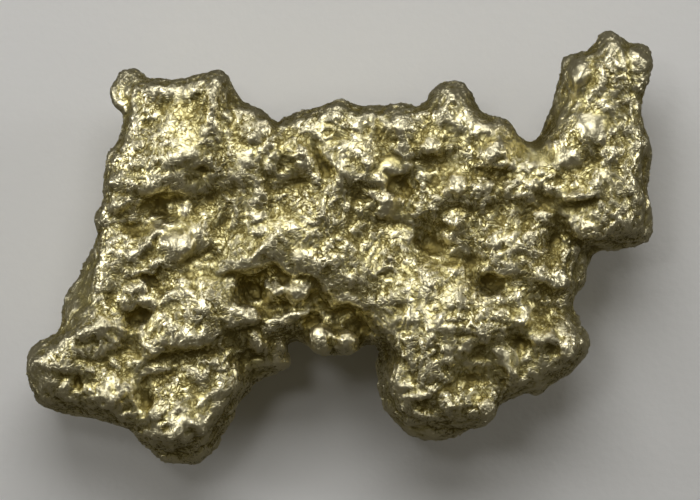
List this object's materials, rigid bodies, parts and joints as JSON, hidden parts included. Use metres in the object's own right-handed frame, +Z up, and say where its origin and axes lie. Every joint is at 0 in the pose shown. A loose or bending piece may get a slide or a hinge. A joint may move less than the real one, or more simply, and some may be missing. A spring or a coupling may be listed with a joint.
{
  "type": "gold nugget",
  "caption": "Large natural gold nugget with lobed feet, a tall side tower, knobs, ledges and pits, lying on its back.",
  "frame": {"origin": "on the surface that the nugget rests on, below the middle of its outline", "axes": "+X along the length towards the tower, +Y towards the tower's tip, +Z up out of the best face"},
  "size_m": [0.1254, 0.0868, 0.0349],
  "materials": {
    "native_gold": "native gold, pale olive, crinkled and water-worn, with darker hollows"
  },
  "bodies": {
    "root": {"nugget": "native_gold"}
  },
  "joints": []
}
